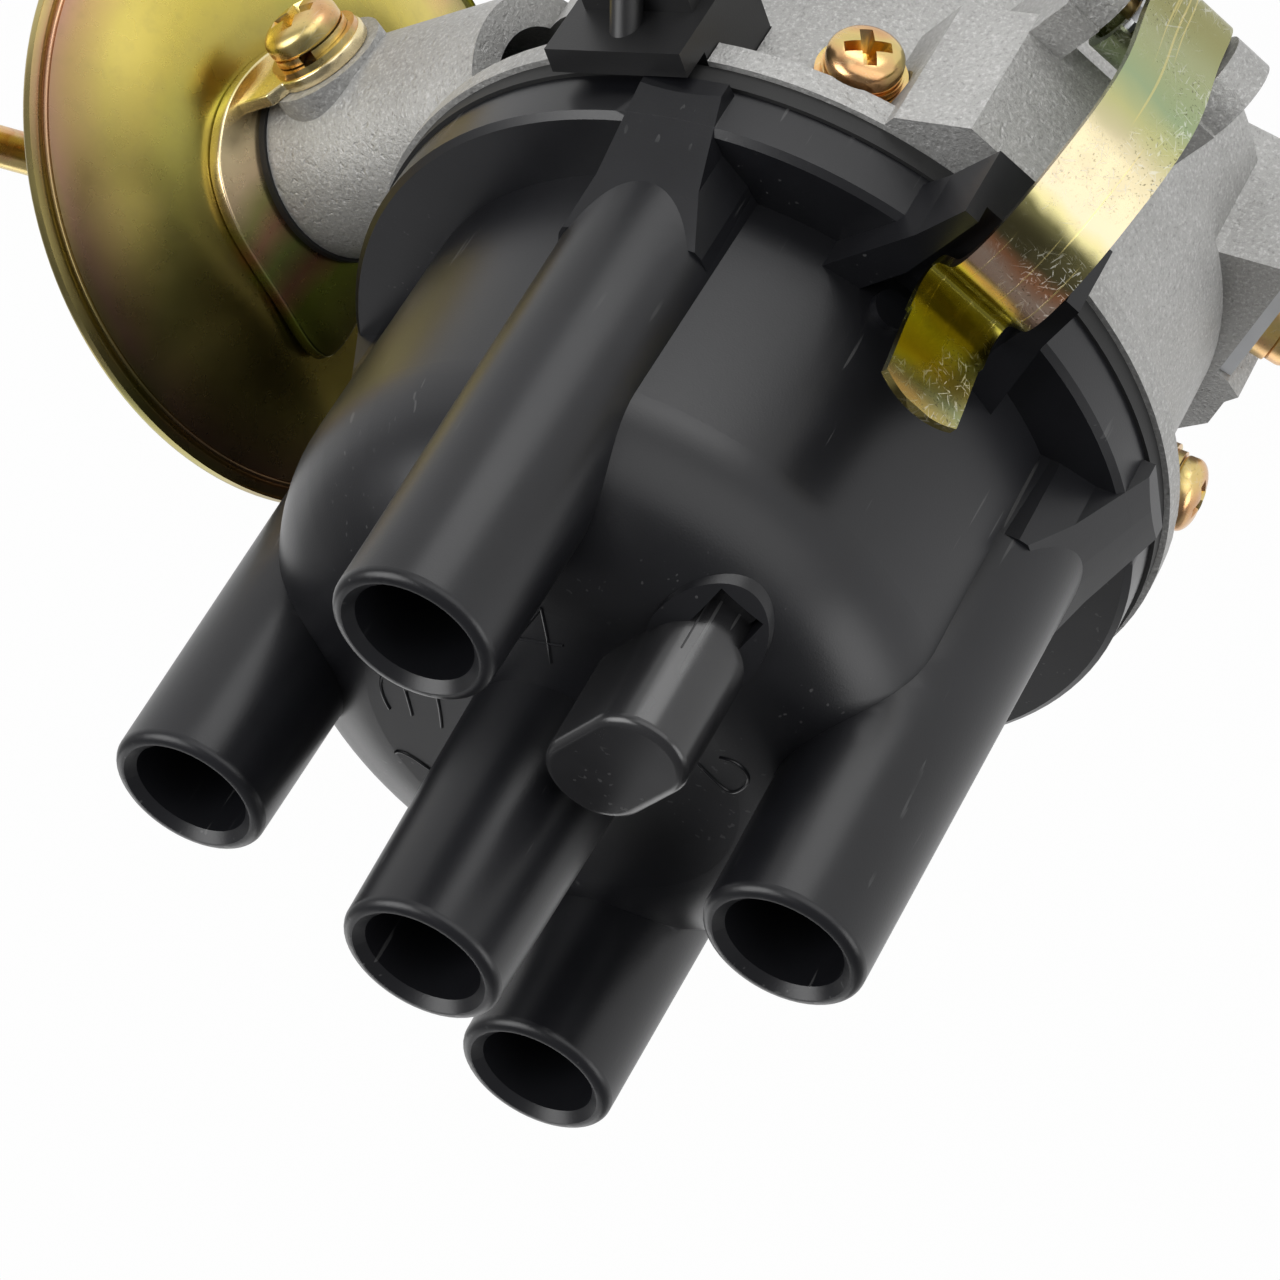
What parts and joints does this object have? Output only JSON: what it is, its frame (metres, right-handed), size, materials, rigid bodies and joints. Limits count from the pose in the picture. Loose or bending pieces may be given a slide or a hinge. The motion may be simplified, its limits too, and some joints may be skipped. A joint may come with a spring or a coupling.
{
  "type": "ignition distributor",
  "caption": "Ignition distributor: black cap with upright lead towers, cast housing held by two spring clips, round vacuum unit at the side and a drive shaft in a plain shank.",
  "frame": {"origin": "on the shaft axis, at the face that seats on the engine block", "axes": "+Z along the shaft towards the cap; +X through the outer lead tower nearest to the vacuum unit"},
  "size_m": [0.1313, 0.1141, 0.1958],
  "materials": {
    "die_cast": "sandy die-cast aluminium alloy, light tumbled grey",
    "cap_moulding": "black moulded phenolic, satin",
    "cover_moulding": "black moulded plastic, glossier",
    "terminal_moulding": "black moulded plastic",
    "seal_rubber": "black rubber",
    "ring_rubber": "black rubber",
    "yellow_zinc": "steel, yellow iridescent zinc plating",
    "clear_zinc": "steel, clear zinc plating",
    "plain_steel": "ground steel, lightly oiled",
    "sintered_steel": "sintered steel",
    "bush_bronze": "sintered bronze",
    "contact_brass": "brass",
    "electrode_alloy": "turned aluminium",
    "carbon": "pressed carbon",
    "coil_winding": "varnished winding under tape",
    "magnet": "ferrite",
    "rotor_moulding": "brown moulded phenolic",
    "fabric_rubber": "fabric-backed rubber sheet"
  },
  "bodies": {
    "body": {"housing": "die_cast", "lower_bush": "bush_bronze", "upper_bush": "bush_bronze", "oil_seal": "ring_rubber", "shank_o_ring": "ring_rubber", "cap_seal": "seal_rubber", "base_plate": "clear_zinc", "vacuum_gasket": "seal_rubber", "vacuum_bracket": "yellow_zinc", "vacuum_inner_shell": "yellow_zinc", "vacuum_outer_shell": "yellow_zinc", "diaphragm": "fabric_rubber", "vacuum_spring": "plain_steel", "vacuum_nipple": "yellow_zinc", "side_screws": "yellow_zinc", "side_screw_spring_washers": "yellow_zinc", "side_screw_flat_washers": "yellow_zinc", "bracket_screw_washer": "yellow_zinc", "bracket_screw": "yellow_zinc", "earth_plate": "clear_zinc", "earth_screw_washer": "yellow_zinc", "earth_screw": "yellow_zinc", "terminal_block": "terminal_moulding", "terminal_blades": "contact_brass", "distributor_cap": "cap_moulding", "side_electrodes": "electrode_alloy", "centre_terminal": "electrode_alloy", "brush_spring": "plain_steel", "vent_cover": "cover_moulding", "clip_pins": "yellow_zinc", "clip_springs": "clear_zinc"},
    "shaft": {"drive_shaft": "plain_steel", "drive_coupling": "sintered_steel", "roll_pin": "plain_steel", "thrust_washer": "plain_steel", "governor_plate": "plain_steel", "weight_pivots": "plain_steel", "governor_posts": "plain_steel", "governor_springs": "plain_steel", "sleeve_screw": "clear_zinc"},
    "weight_a": {"weight_a": "sintered_steel"},
    "weight_b": {"weight_b": "sintered_steel"},
    "sleeve": {"advance_sleeve": "plain_steel", "reluctor": "sintered_steel", "rotor_arm": "rotor_moulding", "rotor_blade": "contact_brass", "rotor_spring": "contact_brass"},
    "pickup": {"pickup_plate": "clear_zinc", "pickup_magnet": "magnet", "stator": "plain_steel", "pickup_coil": "coil_winding"},
    "link": {"vacuum_link": "plain_steel", "diaphragm_plates": "plain_steel"},
    "brush": {"carbon_brush": "carbon"},
    "clip_a": {"cap_clip_a": "yellow_zinc"},
    "clip_b": {"cap_clip_b": "yellow_zinc"}
  },
  "joints": [
    {"name": "shaft_spin", "type": "hinge", "parent": "body", "child": "shaft", "pos_m": [0, 0, 0], "axis": [0, 0, 1], "continuous": true},
    {"name": "weight_a_swing", "type": "hinge", "parent": "shaft", "child": "weight_a", "pos_m": [0.016, 0, 0.023], "axis": [0, 0, -1], "range_deg": [0, 12], "stiffness_Nm_per_rad": 0.06, "springref_deg": -5.73, "deforming": ["governor_springs"]},
    {"name": "weight_b_swing", "type": "hinge", "parent": "shaft", "child": "weight_b", "pos_m": [-0.016, 0, 0.023], "axis": [0, 0, -1], "range_deg": [0, 12]},
    {"name": "sleeve_advance", "type": "hinge", "parent": "shaft", "child": "sleeve", "pos_m": [0, 0, 0.04], "axis": [0, 0, -1], "range_deg": [0, 10.8]},
    {"name": "link_slide", "type": "slide", "parent": "body", "child": "link", "axis": [0.8926, 0.4509, 0], "range_m": [0, 0.006], "stiffness_N_per_m": 600, "springref_m": -0.003, "deforming": ["diaphragm", "vacuum_spring"]},
    {"name": "pickup_turn", "type": "hinge", "parent": "body", "child": "pickup", "pos_m": [0, 0, 0.04], "axis": [0, 0, 1], "range_deg": [0, 12.2]},
    {"name": "clip_a_swing", "type": "hinge", "parent": "body", "child": "clip_a", "pos_m": [-0.0362, -0.0362, 0.0396], "axis": [0.7071, -0.7071, 0], "range_deg": [0, 100], "stiffness_Nm_per_rad": 0.02, "springref_deg": -17.19},
    {"name": "clip_b_swing", "type": "hinge", "parent": "body", "child": "clip_b", "pos_m": [0.0362, 0.0362, 0.0396], "axis": [-0.7071, 0.7071, 0], "range_deg": [0, 100], "stiffness_Nm_per_rad": 0.02, "springref_deg": -17.19},
    {"name": "brush_slide", "type": "slide", "parent": "body", "child": "brush", "axis": [0, 0, 1], "range_m": [0, 0.0015], "stiffness_N_per_m": 120, "springref_m": -0.003, "deforming": ["brush_spring"]}
  ],
  "couplings": [
    {"joint": "weight_b_swing", "follows": "weight_a_swing", "ratio": 1},
    {"joint": "sleeve_advance", "follows": "weight_a_swing", "ratio": 0.9},
    {"joint": "pickup_turn", "follows": "link_slide", "rad_per_m": 35.21}
  ]
}
